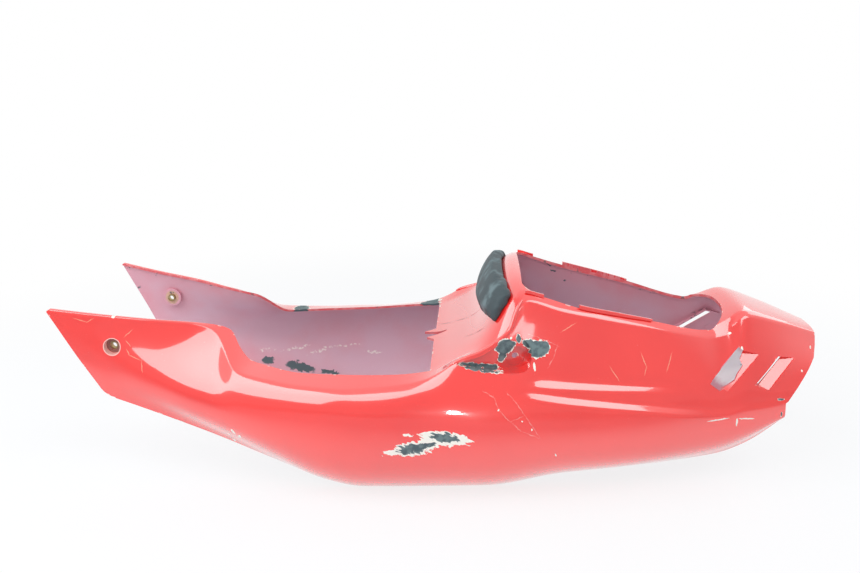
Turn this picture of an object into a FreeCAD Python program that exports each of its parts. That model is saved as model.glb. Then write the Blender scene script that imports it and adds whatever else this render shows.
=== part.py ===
import FreeCAD
import Part
import math
import os

os.makedirs("parts", exist_ok=True)
V = FreeCAD.Vector

# Wall, clearances and reach of the cutting tools
WALL = 3.0
FIT = 0.15
OVERRUN = 12.0
EDGE_TRIM = 1.5
PRISM_HEIGHT = 200.0
SIDE_REACH = 100.0

# Openings in plan, and the torn flaps at the middle of the hump's front edge: station and place across
HUMP_EDGE = -6.0
TEAR = [(-7, -22), (-16, -12), (-10, -9), (8, -4), (9, -1), (-5, 3), (-20, 9), (-6, 17)]
SEAT_CUT_LEVEL = 120.0
PILLION_SPAN = (97.0, 343.0)
PILLION_TURN = 312.0
PILLION_TURN_STEPS = 4
PILLION_CORNER = 12.0
PILLION_CUT_LEVEL = 170.0

# Outlines in side view: station and height
NOSE_CUT = [(-480, 262), (-404, 116), (-400, 109), (-394, 104), (-386, 100), (-386, 60), (-480, 60)]
TAIL_CUT = [(452, 300), (452, 168), (447, 150), (413, 105), (410, 103), (412, 60), (480, 60), (480, 300)]
VENTS = [((316, 137), (349, 169), (374, 162), (336, 124)), ((370, 129), (399, 157), (420, 153), (387, 121))]
SCOOP_DEPTH = 10.0
SCOOP_WALL = 2.0
SCOOP_SLOT = 7.0

# The ramp of the left front scoop is broken out to this outline
BROKEN_RAMP = [(314, 134), (349, 171), (357, 166), (352, 156), (355, 150), (348, 141), (345, 135),
               (337, 130), (326, 125)]

# Lips along the rear opening: station and height above the rim
LIP = [(161, 3), (200, 2.5), (246, 1)]
TONGUE = [(100, 2), (121, 2.5)]
LIP_WALL = 2.5

# Front mounts: cup in the panel, bush through its floor and bolt
FRONT_MOUNT = (-382.0, 166.0)
CUP_R = 9.5
CUP_DEPTH = 6.0
BUSH_R = 5.0
BUSH_PROUD = 2.0
BOLT_R = 3.25

# Pocket outline in side view, half widths of its floor, and the round seat in it
POCKET = [(24, 170), (50, 178), (70, 189), (82, 198), (94, 196), (104, 187), (107, 176), (103, 165),
          (92, 161), (60, 163)]
POCKET_TIP = (24, -139.0)
POCKET_TAIL = (107, -119.0)
POCKET_SEAT = (89.0, 174.0)
SEAT_R = 11.5
SEAT_DEPTH = 1.5

# Backrest pad: stations of its lower and upper edge at the middle and the ends, and its profile
PAD_FOOT = (53.0, 68.0)
PAD_HEAD = (79.0, 87.0)
PAD_SHARE = 0.95
PAD_PANELS = 8
PAD_GLUE = 1.5
PAD_THICK = 13.0
PAD_EDGE = 0.35
PAD_PROFILE = [(0, 0.5), (0.2, 0.9), (0.5, 1), (0.85, 0.9), (1, 0.5)]

# Shape of the section: fullness of its curves, rise of a belt step, poles across the crown
LOWER_FULLNESS = 0.42
LOWER_STRIPS = 3
UPPER_FULLNESS = 0.38
BELT_START = 78
BELT_RISE = 0.03
CROWN_SHAPE = (1, -0.5, 1 / 3, -0.5, 1)

# Styling lines of the left half: station along the part, half width, height
BOTTOM = [(-456, 98, 120), (-396, 100, 103), (-278, 104, 64), (-184, 112, 29), (-130, 119, 9),
          (-86, 117, 0), (62, 106, 0), (147, 96, 13), (218, 90, 20), (290, 80, 27), (338, 72, 33),
          (375, 68, 48), (412, 62, 74), (456, 52, 106)]
WIDEST = [(-456, 107, 180), (-396, 104, 146), (-338, 113, 124), (-278, 131, 109), (-230, 146, 103),
          (-184, 157, 99), (-112, 168, 96), (-40, 171, 96), (40, 168, 96), (110, 160, 94),
          (185, 146, 88), (260, 127, 82), (330, 104, 78), (412, 78, 90), (456, 64, 112)]
CREASE = [(-456, 107, 214), (-395, 97, 204), (-338, 88, 196), (-284, 75, 187), (-266, 75, 181),
          (-254, 90, 167), (-230, 123, 148), (-198, 134, 144), (-150, 146, 141), (-104, 152, 141),
          (-37, 151, 147), (-10, 149, 153), (6, 146, 161), (22, 141, 172), (50, 135, 182),
          (71, 127, 194), (82, 120, 203), (92, 105, 227), (98, 100, 233), (139, 101, 222),
          (185, 97, 211), (243, 89, 199), (304, 76, 185), (322, 71, 181), (340, 64, 186),
          (355, 58, 205), (397, 48, 195), (448, 31, 177), (456, 28, 174)]
INNER = [(-456, 100, 213), (-395, 90, 203), (-338, 81, 195), (-284, 68, 187), (-262, 66, 184),
         (-248, 68, 180), (-235, 82, 164), (-221, 92, 150), (-208, 98, 149), (-156, 117, 146),
         (-109, 122, 147), (-40, 127, 151), (-6, 123, 154), (22, 122, 167), (50, 118, 184),
         (71, 111, 206), (82, 103, 228), (92, 94, 239), (98, 91, 240), (118, 90, 235), (160, 92, 223),
         (208, 87, 213), (243, 81, 206), (304, 68, 191), (315, 64, 190), (330, 58, 194), (343, 54, 201),
         (355, 50, 208), (397, 42, 197), (448, 26, 178), (456, 23, 175)]
CENTRE = [(-456, 213), (-262, 184), (-248, 180), (-235, 164), (-221, 150), (-109, 147), (-40, 151),
          (-6, 154), (22, 167), (40, 179), (53, 194), (64, 217), (76, 243), (86, 249), (98, 248),
          (118, 243), (160, 228), (243, 210), (304, 196), (330, 198), (343, 203), (355, 210),
          (397, 199), (448, 180), (456, 177)]
# Lean of the panel in degrees from upright: station, below the crease, above the bottom edge
LEAN = [(-456, 4, 2), (-338, 10, 12), (-284, 18, 25), (-254, 40, 32), (-230, 60, 38), (-150, 65, 56),
        (-37, 62, 62), (6, 45, 62), (50, 30, 62), (92, 26, 60), (139, 25, 60), (243, 30, 58),
        (304, 36, 52), (340, 38, 44), (397, 42, 28), (456, 42, 18)]
# Belt steps: station, share of the height of the lower and upper step, depth of the lower and upper step
BELT = [(-456, 0.34, 0.46, 0, 0), (BELT_START, 0.34, 0.44, 0, 0), (101, 0.33, 0.41, 3, 0),
        (116, 0.32, 0.42, 5, 6), (184, 0.30, 0.44, 5, 6), (265, 0.27, 0.42, 4, 4),
        (314, 0.24, 0.40, 4, 3), (410, 0.12, 0.24, 2, 1), (456, 0.12, 0.24, 1, 0)]
FRONT_STATIONS = [-456, -420, -385, -345, -315, -292, -274, -260, -248, -236, -222, -200, -175, -147,
                  -118, -85, -50, -20, 5, 25, 43, 56, 66, 72, BELT_START]
REAR_STATIONS = [BELT_START, 84, 91, 98, 110, 132, 160, 190, 220, 250, 275, 298, 315, 330, 341, 350,
                 360, 390, 415, 435, 456]
INSIDE_STATIONS = [-456, -385, -345, -315, -292, -274, -260, -248, -236, -222, -200, -135, -55, -20, 5,
                   25, 43, 56, 66, 78, 84, 91, 98, 112, 165, 235, 298, 315, 330, 341, 350, 360, 415,
                   456]


def slopes(xs, vs):
    steps = [(vs[i + 1] - vs[i]) / (xs[i + 1] - xs[i]) for i in range(len(xs) - 1)]
    out = [steps[0]]
    for a, b in zip(steps, steps[1:]):
        out.append(2 * a * b / (a + b) if a * b > 0 else 0.0)
    return out + [steps[-1]]


def line(table):
    xs = [row[0] for row in table]
    columns = []
    for k in range(1, len(table[0])):
        vs = [row[k] for row in table]
        columns.append((vs, slopes(xs, vs)))

    def at(x):
        i = 0
        while i < len(xs) - 2 and x > xs[i + 1]:
            i += 1
        h = xs[i + 1] - xs[i]
        t = (x - xs[i]) / h
        row = []
        for vs, ms in columns:
            a = (1 + 2 * t) * (1 - t) ** 2 * vs[i] + t * t * (3 - 2 * t) * vs[i + 1]
            row.append(a + h * t * (1 - t) * ((1 - t) * ms[i] - t * ms[i + 1]))
        return row
    return at


bottom = line(BOTTOM)
widest = line(WIDEST)
crease = line(CREASE)
inner_edge = line(INNER)
centre = line(CENTRE)
lean = line(LEAN)
belt = line(BELT)


# Part of a cubic between two of its parameters
def piece(poles, start, end):
    def cut(points, t):
        head = []
        tail = []
        while points:
            head.append(points[0])
            tail.insert(0, points[-1])
            points = [[u + (v - u) * t for u, v in zip(p, q)] for p, q in zip(points, points[1:])]
        return head, tail
    tail = cut(poles, start)[1]
    return cut(tail, (end - start) / (1 - start))[0]


def lower_side(x):
    b = bottom(x)
    w = widest(x)
    reach = LOWER_FULLNESS * math.dist(b, w)
    angle = math.radians(lean(x)[1])
    return [b, [b[0] + reach * math.sin(angle), b[1] + reach * math.cos(angle)], [w[0], w[1] - reach], w]


def upper_side(x):
    w = widest(x)
    k = crease(x)
    reach = UPPER_FULLNESS * math.dist(w, k)
    angle = math.radians(lean(x)[0])
    return [w, [w[0], w[1] + reach], [k[0] + reach * math.sin(angle), k[1] - reach * math.cos(angle)], k]


# Strips of one half section from the bottom edge up to the inner edge, each a short row of poles
def half_section(x, belted):
    flange = [crease(x), inner_edge(x)]
    lower = [piece(lower_side(x), i / LOWER_STRIPS, (i + 1) / LOWER_STRIPS) for i in range(LOWER_STRIPS)]
    if not belted:
        return lower + [upper_side(x), flange]
    low, high, deep_low, deep_high = belt(x)
    deep = deep_low + deep_high
    upper = upper_side(x)
    shoulder = piece(upper, 0, low)
    band = piece(upper, low + BELT_RISE, high)
    band = [[y - deep_low, z] for y, z in (band[0], band[-1])]
    panel = [[y - deep * (1 - i / 3), z] for i, (y, z) in enumerate(piece(upper, high + BELT_RISE, 1))]
    return lower + [shoulder, [shoulder[-1], band[0]], band, [band[-1], panel[0]], panel, flange]


def top_sheet(x):
    y, z = inner_edge(x)
    crown = centre(x)[0]
    return [V(x, y * (i / 2 - 1), crown + (z - crown) * share) for i, share in enumerate(CROWN_SHAPE)]


def full_section(x, belted):
    strips = half_section(x, belted)
    left = [[V(x, -y, z) for y, z in strip] for strip in strips]
    right = [[V(x, y, z) for y, z in reversed(strip)] for strip in reversed(strips)]
    return left + [top_sheet(x)] + right


def curve(poles):
    c = Part.BezierCurve()
    c.setPoles(poles)
    return c.toShape()


def patch(rows):
    du = len(rows) - 1
    dv = len(rows[0]) - 1
    s = Part.BSplineSurface()
    s.buildFromPolesMultsKnots(rows, [du + 1] * 2, [dv + 1] * 2, [0, 1], [0, 1], False, False, du, dv)
    return s.toShape()


def closed_solid(faces):
    shell = Part.makeShell(faces)
    shell.sewShape()
    solid = Part.makeSolid(shell)
    if solid.Volume < 0:
        solid.reverse()
    return solid


def flat_face(points):
    return Part.Face(Part.makePolygon(points + points[:1]))


# Two flat triangles between two straight edges
def facets(edge_a, edge_b):
    corners = ([edge_a[0], edge_a[1], edge_b[1]], [edge_a[0], edge_b[1], edge_b[0]])
    return [flat_face(three) for three in corners]


# Solid of closed sections joined by straight runs from each station to the next, with a level base
def lofted(sections, flat=False):
    faces = []
    for a, b in zip(sections, sections[1:]):
        for strip_a, strip_b in zip(a, b):
            if flat:
                faces += facets(strip_a, strip_b)
            elif strip_a is a[-1]:
                faces.append(flat_face(strip_a + strip_b[::-1]))
            else:
                faces.append(patch([strip_a, strip_b]))
    for section in (sections[0], sections[-1]):
        faces.append(Part.Face(Part.Wire([curve(strip) for strip in section])))
    return closed_solid(faces)


def closed(section):
    return section + [[section[-1][-1], section[0][0]]]


def patch_point(poles, t):
    while len(poles) > 1:
        poles = [p + (q - p) * t for p, q in zip(poles, poles[1:])]
    return poles[0]


# Points of a section that the inside follows, with the bottom edges first and last
def inside_points(x):
    def spread(strip, shares):
        return [patch_point([V(x, -y, z) for y, z in strip], t) for t in shares]

    strips = half_section(x, True)
    shoulder, panel, flange = strips[LOWER_STRIPS], strips[-2], strips[-1]
    half = spread(lower_side(x), (0, 0.5, 1)) + spread(shoulder, (0.6,))
    half += spread(panel, (0, 1 / 3, 2 / 3, 1)) + spread(flange, (1,))
    half.append(patch_point(top_sheet(x), 0.25))
    return half + [patch_point(top_sheet(x), 0.5)] + [V(p.x, -p.y, p.z) for p in reversed(half)]


# A grid of points moved inward by the wall along its own normals
def moved_in(grid, depth):
    last = len(grid) - 1
    wide = len(grid[0]) - 1
    moved = []
    for i, row in enumerate(grid):
        out = []
        for j, p in enumerate(row):
            along = grid[min(i + 1, last)][j] - grid[max(i - 1, 0)][j]
            sides = (p - row[max(j - 1, 0)], row[min(j + 1, wide)] - p)
            normals = [along.cross(side).normalize() for side in sides if side.Length > 0]
            n = (normals[0] + normals[-1]).normalize()
            out.append(p - n * (depth / max(0.6, n.dot(normals[0]))))
        moved.append(out)
    return moved


# Solid of the hollow inside, which runs past the open ends and the bottom edges
def hollow():
    grid = moved_in([inside_points(x) for x in INSIDE_STATIONS], WALL)
    for row in grid:
        row.insert(0, row[0] + (row[0] - row[1]).normalize() * OVERRUN)
        row.append(row[-1] + (row[-1] - row[-2]).normalize() * OVERRUN)
    first = [V(INSIDE_STATIONS[0] - OVERRUN, p.y, p.z) for p in grid[0]]
    last = [V(INSIDE_STATIONS[-1] + OVERRUN, p.y, p.z) for p in grid[-1]]
    strips = [[[p, q] for p, q in zip(row, row[1:])] for row in [first] + grid + [last]]
    return lofted([closed(section) for section in strips], flat=True)


def both_sides(shape):
    return [shape, shape.mirror(V(0, 0, 0), V(0, 1, 0))]


# Prism through both sides from an outline of stations and heights
def side_prism(outline, reach):
    return flat_face([V(x, -reach, z) for x, z in outline]).extrude(V(0, 2 * reach, 0))


# Prism upward from a level, from a plan outline
def plan_prism(outline, level):
    return flat_face([V(x, y, level) for x, y in outline]).extrude(V(0, 0, PRISM_HEIGHT))


# Half width of the outer panel above the belt, at a station and height
def panel_y(x, z):
    panel = [V(0, *pole) for pole in half_section(x, True)[-2]]
    low = 0.0
    high = 1.0
    for i in range(24):
        mid = (low + high) / 2
        if patch_point(panel, mid).z < z:
            low = mid
        else:
            high = mid
    return patch_point(panel, low).y


# Plan outline of one side of an opening, along the inner edge
def edge_run(stations):
    return [(x, inner_edge(x)[0] + EDGE_TRIM) for x in stations]


def other_side(run):
    return [(x, -y) for x, y in run]


def seat_opening():
    first = FRONT_STATIONS[0]
    run = [(first - OVERRUN, inner_edge(first)[0] + EDGE_TRIM)]
    run += edge_run([x for x in FRONT_STATIONS if x < HUMP_EDGE] + [HUMP_EDGE])
    return plan_prism(other_side(run) + TEAR + run[::-1], SEAT_CUT_LEVEL)


def pillion_opening():
    front, rear = PILLION_SPAN
    corner = front + PILLION_CORNER
    run = [(front, inner_edge(corner)[0] + EDGE_TRIM - PILLION_CORNER)]
    run += edge_run([corner] + [x for x in REAR_STATIONS if corner < x < PILLION_TURN])
    turn_y = inner_edge(PILLION_TURN)[0] + EDGE_TRIM
    for i in range(PILLION_TURN_STEPS):
        angle = math.pi / 2 * i / PILLION_TURN_STEPS
        run.append((PILLION_TURN + (rear - PILLION_TURN) * math.sin(angle), turn_y * math.cos(angle)))
    return plan_prism(other_side(run) + run[::-1], PILLION_CUT_LEVEL)


# Prism standing on a four-cornered patch of the left side
def corner_prism(corners, depths, grow, sink):
    mid_x = sum(x for x, z in corners) / 4
    mid_z = sum(z for x, z in corners) / 4
    points = []
    for (x, z), depth in zip(corners, depths):
        scale = 1 + grow / math.hypot(x - mid_x, z - mid_z)
        grown_x = mid_x + (x - mid_x) * scale
        grown_z = mid_z + (z - mid_z) * scale
        points.append(V(grown_x, depth + sink - panel_y(x, z), grown_z))
    a, b, c, d = points
    return patch([[a, b], [d, c]]).extrude(V(0, -SIDE_REACH, 0))


# A scoop: a ramp that leaves the panel at its rear edge and stops short of the slot at its front edge
def scoop(corners):
    depths = (SCOOP_DEPTH, SCOOP_DEPTH, 0, 0)
    void = corner_prism(corners, depths, 0, 0)
    tray = corner_prism(corners, depths, SCOOP_WALL, SCOOP_WALL).common(outer).cut(void)
    bottom_front, top_front, top_rear, bottom_rear = corners
    share = SCOOP_SLOT / math.dist(bottom_front, bottom_rear)
    slot_rear = [[f + (r - f) * share for f, r in zip(front, rear)]
                 for front, rear in ((top_front, top_rear), (bottom_front, bottom_rear))]
    slot = side_prism([bottom_front, top_front] + slot_rear, SIDE_REACH * 2)
    return void, tray.cut(slot)


def mount_cup(x, z):
    face_y = -panel_y(x, z)
    axis = V(0, 1, 0)
    floor_y = face_y + CUP_DEPTH
    start = V(x, face_y - WALL, z)
    recess = Part.makeCylinder(CUP_R, CUP_DEPTH + WALL, start, axis)
    boss = Part.makeCylinder(CUP_R + WALL, CUP_DEPTH + 2 * WALL, start, axis).common(outer)
    hole = Part.makeCylinder(BUSH_R + FIT, 4 * WALL, V(x, floor_y - WALL, z), axis)
    return recess, boss.cut(recess).cut(hole), floor_y


# Bush through the cup floor, standing proud of its inner face
def bush(x, z, floor_y):
    axis = V(0, 1, 0)
    start = V(x, floor_y, z)
    return Part.makeCylinder(BUSH_R, WALL + BUSH_PROUD, start, axis).cut(
        Part.makeCylinder(BOLT_R, WALL + BUSH_PROUD, start, axis))


# Pocket below the hump crease, with a round seat and a bolt hole in its floor
def pocket():
    def on_floor(x, z, sink):
        share = (x - POCKET_TIP[0]) / (POCKET_TAIL[0] - POCKET_TIP[0])
        return V(x, POCKET_TIP[1] + (POCKET_TAIL[1] - POCKET_TIP[1]) * share + sink, z)

    floor = Part.Wire(Part.makePolygon([on_floor(x, z, 0) for x, z in POCKET + POCKET[:1]]))
    void = Part.Face(floor).extrude(V(0, -SIDE_REACH, 0))
    rim = Part.Wire(floor.makeOffset2D(WALL).Edges)
    tray = Part.Face(rim).extrude(V(0, -SIDE_REACH, 0))
    tray.translate(V(0, WALL, 0))
    seat_x, seat_z = POCKET_SEAT
    seat = on_floor(seat_x, seat_z, 0)
    normal = (on_floor(0, 0, 0) - on_floor(1, 0, 0)).cross(V(0, 0, 1)).normalize()
    if normal.y < 0:
        normal = normal * -1
    dish = Part.makeCylinder(SEAT_R, SEAT_DEPTH + WALL, seat - normal * WALL, normal)
    hole = Part.makeCylinder(BOLT_R, SIDE_REACH, seat, normal)
    tray = tray.common(outer).cut(void).cut(dish).cut(hole)
    return void.fuse(dish), tray


# Point and outward normal of the top sheet at a station and a share of its half width
def on_sheet(x, share):
    def at(station, across):
        return patch_point(top_sheet(station), (across + 1) / 2)

    along = at(x + 1, share) - at(x - 1, share)
    across = at(x, share + 0.02) - at(x, share - 0.02)
    return at(x, share), along.cross(across).normalize()


# Points moved onto the plane through the first, a middle and the last of them
def flattened(ring):
    middle = ring[len(ring) // 4]
    n = (middle - ring[0]).cross(ring[-1] - ring[0]).normalize()
    return [p - n * (p - ring[0]).dot(n) for p in ring]


# Backrest pad on the front of the hump, thickest at its middle, on a bed of glue
def backrest_pad():
    sections = []
    for i in range(PAD_PANELS + 1):
        share = PAD_SHARE * (2 * i / PAD_PANELS - 1)
        foot = PAD_FOOT[0] + (PAD_FOOT[1] - PAD_FOOT[0]) * share ** 2
        head = PAD_HEAD[0] + (PAD_HEAD[1] - PAD_HEAD[0]) * share ** 2
        thin = 1 - PAD_EDGE * abs(share) ** 4
        front = []
        back = []
        for rise, swell in PAD_PROFILE:
            p, n = on_sheet(foot + (head - foot) * rise, share)
            front.append(p + n * (PAD_THICK * swell * thin))
            back.append(p + n * PAD_GLUE)
        ring = flattened(front + back[::-1])
        sections.append(closed([[p, q] for p, q in zip(ring, ring[1:])]))
    return lofted(sections, flat=True)


# Raised lip along one side of the rear opening, and the tongue in its front corner
def opening_lip(run):
    sections = []
    for x, height in run:
        y, z = inner_edge(x)
        inside = y + EDGE_TRIM
        low, high = z - WALL / 2, z + height
        outside = inside + LIP_WALL
        ring = [V(x, -inside, low), V(x, -inside, high), V(x, -outside, high), V(x, -outside, low)]
        sections.append(closed([[p, q] for p, q in zip(ring, ring[1:])]))
    return lofted(sections, flat=True)


front_body = lofted([closed(full_section(x, False)) for x in FRONT_STATIONS])
rear_body = lofted([closed(full_section(x, True)) for x in REAR_STATIONS])
outer = front_body.fuse(rear_body)
shell = outer.cut(hollow())
shell = shell.cut(seat_opening())
shell = shell.cut(pillion_opening())
shell = shell.cut(side_prism(NOSE_CUT, SIDE_REACH * 2))
shell = shell.cut(side_prism(TAIL_CUT, SIDE_REACH * 2))
cup_void, cup, cup_floor = mount_cup(*FRONT_MOUNT)
pocket_void, pocket_tray = pocket()
voids = [cup_void, pocket_void]
walls = [cup, pocket_tray, opening_lip(LIP), opening_lip(TONGUE)]
for corners in VENTS:
    void, tray = scoop(corners)
    voids.append(void)
    walls.append(tray)
for void in voids:
    for side in both_sides(void):
        shell = shell.cut(side)
for wall in walls:
    for side in both_sides(wall):
        shell = shell.fuse(side)
broken = side_prism(BROKEN_RAMP, SIDE_REACH)
broken.translate(V(0, -SIDE_REACH, 0))
shell = shell.cut(broken)
pad = backrest_pad()

# The origin is the middle of the base of the box round the moulding
ends = [vertex.X for vertex in shell.Vertexes]
home = V(-(min(ends) + max(ends)) / 2, 0, 0)
left_bush, right_bush = both_sides(bush(*FRONT_MOUNT, cup_floor))
pieces = {"tail_shell": shell, "backrest_pad": pad, "front_mount_bush_left": left_bush,
          "front_mount_bush_right": right_bush}
for name, solid in pieces.items():
    solid.translate(home)
    solid.exportStep("parts/" + name + ".step")
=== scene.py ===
# %% [markdown]
# A motorcycle tail fairing is one thin plastic moulding, painted outside and bare inside.
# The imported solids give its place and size. This lesson dresses them: a smooth skin with real
# openings, worn gloss paint, a foam backrest and two plated bushes.

# %% Load the frame
import math

import bmesh
import bpy
import numpy as np
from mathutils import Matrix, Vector, kdtree
from mathutils.bvhtree import BVHTree


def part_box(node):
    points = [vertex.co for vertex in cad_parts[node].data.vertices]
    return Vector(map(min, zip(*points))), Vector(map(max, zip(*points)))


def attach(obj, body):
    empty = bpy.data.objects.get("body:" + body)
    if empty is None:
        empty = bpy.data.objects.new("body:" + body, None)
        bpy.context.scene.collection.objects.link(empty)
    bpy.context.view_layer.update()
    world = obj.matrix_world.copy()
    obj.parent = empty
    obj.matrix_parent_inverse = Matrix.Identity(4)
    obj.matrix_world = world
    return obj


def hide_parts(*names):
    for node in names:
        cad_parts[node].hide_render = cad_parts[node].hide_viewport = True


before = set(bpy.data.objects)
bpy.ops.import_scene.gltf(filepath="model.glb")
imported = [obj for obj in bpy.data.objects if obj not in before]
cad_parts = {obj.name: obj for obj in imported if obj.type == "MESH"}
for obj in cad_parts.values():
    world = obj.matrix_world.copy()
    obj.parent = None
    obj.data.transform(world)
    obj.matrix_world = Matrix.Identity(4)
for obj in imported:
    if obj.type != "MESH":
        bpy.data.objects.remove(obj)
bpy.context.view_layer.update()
MM = 0.001
TAIL_END = 452.0
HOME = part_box("tail_shell")[1][0] / MM - TAIL_END

# %% [markdown]
# The photograph was taken from the vehicle's left, a little above the part, with a moderate lens.
# A camera is three things: where it stands, which way it turns, and its focal length. The focal
# length is worked out from the picture's width so that the perspective is the same.

# %% Camera
PICTURE_WIDTH = 860
FOCAL_PIXELS = 800
SENSOR = 36.0
CAMERA_PLACE = (0.041, -0.960, 0.505)
CAMERA_DOWN = 16.73
CAMERA_LEFT = 3.22

camera_data = bpy.data.cameras.new("camera")
camera_data.sensor_width = SENSOR
camera_data.lens = FOCAL_PIXELS / PICTURE_WIDTH * SENSOR
camera = bpy.data.objects.new("camera", camera_data)
camera.location = (CAMERA_PLACE[0] + HOME * MM, CAMERA_PLACE[1], CAMERA_PLACE[2])
camera.rotation_euler = (math.radians(90 - CAMERA_DOWN), 0, math.radians(CAMERA_LEFT))
bpy.context.scene.collection.objects.link(camera)
bpy.context.scene.camera = camera
print("lens", round(camera_data.lens, 2), "mm")

# %% [markdown]
# A stylist draws such a part with a few long lines: its bottom edge, its widest line, the crease
# where the side folds over, the inner edge of that fold, and the height of the middle. Each line
# is a short list of stations in millimetres, and a curve that never overshoots runs through it.

# %% Styling lines
BOTTOM = [(-456, 98, 120), (-396, 100, 103), (-278, 104, 62), (-184, 112, 27), (-130, 119, 9),
          (-86, 117, 0), (62, 106, 0), (147, 96, 13), (218, 90, 20), (290, 80, 27), (338, 72, 33),
          (375, 68, 48), (412, 62, 74), (456, 52, 106)]
WIDEST = [(-456, 107, 180), (-396, 104, 146), (-338, 113, 124), (-278, 131, 109), (-230, 146, 103),
          (-184, 157, 99), (-112, 168, 96), (-40, 171, 96), (40, 168, 96), (110, 160, 94), (185, 146, 88),
          (260, 127, 82), (330, 104, 78), (412, 78, 90), (456, 64, 112)]
CREASE = [(-456, 107, 214), (-395, 97, 204), (-338, 88, 196), (-284, 75, 187), (-266, 75, 181),
          (-254, 90, 167), (-230, 123, 148), (-198, 134, 144), (-150, 146, 141), (-104, 152, 141),
          (-37, 151, 147), (-10, 149, 153), (6, 146, 161), (22, 141, 172), (50, 135, 182), (71, 127, 194),
          (82, 120, 203), (92, 105, 227), (98, 100, 233), (139, 101, 222), (185, 97, 211), (243, 89, 199),
          (304, 76, 185), (322, 71, 181), (340, 64, 186), (355, 58, 205), (397, 48, 195), (448, 31, 177),
          (456, 28, 174)]
INNER = [(-456, 100, 213), (-395, 90, 203), (-338, 81, 195), (-284, 68, 187), (-262, 66, 184),
         (-248, 68, 180), (-235, 82, 164), (-221, 92, 150), (-208, 98, 149), (-156, 117, 146),
         (-109, 122, 147), (-40, 127, 151), (-6, 123, 154), (22, 122, 167), (50, 118, 184), (71, 111, 206),
         (82, 103, 228), (92, 94, 239), (98, 91, 240), (118, 90, 235), (160, 92, 223), (208, 87, 213),
         (243, 81, 206), (304, 68, 191), (315, 64, 190), (330, 58, 194), (343, 54, 201), (355, 50, 208),
         (397, 42, 197), (448, 26, 178), (456, 23, 175)]
CENTRE = [(-456, 213), (-262, 184), (-248, 180), (-235, 164), (-221, 150), (-109, 147), (-40, 151), (-6, 154),
          (22, 167), (40, 179), (53, 194), (64, 217), (76, 243), (86, 249), (98, 248), (118, 243), (160, 228),
          (243, 210), (304, 196), (330, 198), (343, 203), (355, 210), (397, 199), (448, 180), (456, 177)]
LEAN = [(-456, 4, 2), (-338, 10, 12), (-284, 18, 25), (-254, 40, 32), (-230, 60, 38), (-150, 65, 56),
        (-37, 62, 62), (6, 45, 62), (50, 30, 62), (92, 26, 60), (139, 25, 60), (243, 30, 58), (304, 34, 52),
        (340, 30, 44), (397, 27, 28), (456, 25, 18)]
BELT = [(-456, 0.28, 0.40, 0, 0), (78, 0.28, 0.38, 0, 0), (101, 0.265, 0.345, 1.8, 0),
        (116, 0.255, 0.352, 3.2, 2.8), (184, 0.235, 0.372, 4.5, 3), (245, 0.21, 0.385, 4.9, 2.6),
        (275, 0.19, 0.39, 4.4, 0.8), (300, 0.18, 0.39, 3.3, 0), (322, 0.17, 0.38, 1.4, 0),
        (410, 0.12, 0.24, 0.8, 0.5), (456, 0.12, 0.24, 0.5, 0)]


def line(table):
    rows = np.array(table, float)
    xs, vs = rows[:, 0], rows[:, 1:]
    step = np.diff(vs, axis=0) / np.diff(xs)[:, None]
    same = step[:-1] * step[1:] > 0
    total = np.where(same, step[:-1] + step[1:], 1)
    middle = np.where(same, 2 * step[:-1] * step[1:] / total, 0)
    slope = np.vstack([step[:1], middle, step[-1:]])

    def at(x):
        x = np.atleast_1d(np.asarray(x, float))
        i = np.clip(np.searchsorted(xs, x) - 1, 0, len(xs) - 2)
        h = (xs[i + 1] - xs[i])[:, None]
        t = (x[:, None] - xs[i][:, None]) / h
        start = (1 + 2 * t) * (1 - t) ** 2 * vs[i] + h * t * (1 - t) ** 2 * slope[i]
        return start + t * t * (3 - 2 * t) * vs[i + 1] - h * t * t * (1 - t) * slope[i + 1]
    return at


bottom, widest, crease, inner_edge = map(line, (BOTTOM, WIDEST, CREASE, INNER))
centre, lean, belt = map(line, (CENTRE, LEAN, BELT))
print("height of the hump's top:", centre(86)[0, 0], "mm")

# %% [markdown]
# Across the part, every section is the same recipe: a cubic from the bottom edge out to the
# widest line, a second cubic up to the crease with the two belt steps pressed into it, a rounded
# fold, the narrow flange, and the crowned top sheet. Many sections side by side make a grid, and
# a little smoothing along the part takes out the kinks between stations.

# %% Sections
LOWER_FULLNESS, UPPER_FULLNESS = 0.42, 0.38
BELT_RISE = 0.06
FOLD_ROUND = 3.0
WALL = 3.0
STATION_END, STATION_STEP = 456.0, 4.0
SMOOTH_STATIONS = 1.6
LOWER_ROWS = 18
UPPER_COUNTS = (7, 5, 5, 5, 14)
FOLD_COUNT, FLANGE_COUNT = 6, 5
MOST_TURN, MOST_FLANGE = 0.3, 0.5


def bezier(poles, t):
    p = [poles[:, None, k] for k in range(4)]
    t = t[..., None]
    return (1 - t) ** 3 * p[0] + 3 * t * (1 - t) ** 2 * p[1] + 3 * t * t * (1 - t) * p[2] + t ** 3 * p[3]


# A cubic leaves the widest line upright, up (1) or down (-1), and meets its end at a lean
def side_poles(start, end, lean_angle, fullness, up):
    reach = fullness * np.linalg.norm(end - start, axis=1)
    angle = np.radians(lean_angle)
    lead = start + np.stack([0 * reach, up * reach], 1)
    trail = end + np.stack([reach * np.sin(angle), -up * reach * np.cos(angle)], 1)
    return np.stack([start, lead, trail, end], 1)


# The upper side with its belt steps, at shares u of the way up
def upper_side(x, u):
    low, high, deep_low, deep_high = belt(x).T[:, :, None]
    points = bezier(side_poles(widest(x), crease(x), lean(x)[:, 0], UPPER_FULLNESS, 1), u)
    first = np.clip((u - low) / BELT_RISE, 0, 1)
    second = np.clip((u - high) / BELT_RISE, 0, 1)
    fade = np.clip((1 - u) / (1 - high - BELT_RISE), 0, 1)
    points[..., 0] -= (deep_low * first + deep_high * second) * fade
    return points


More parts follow.
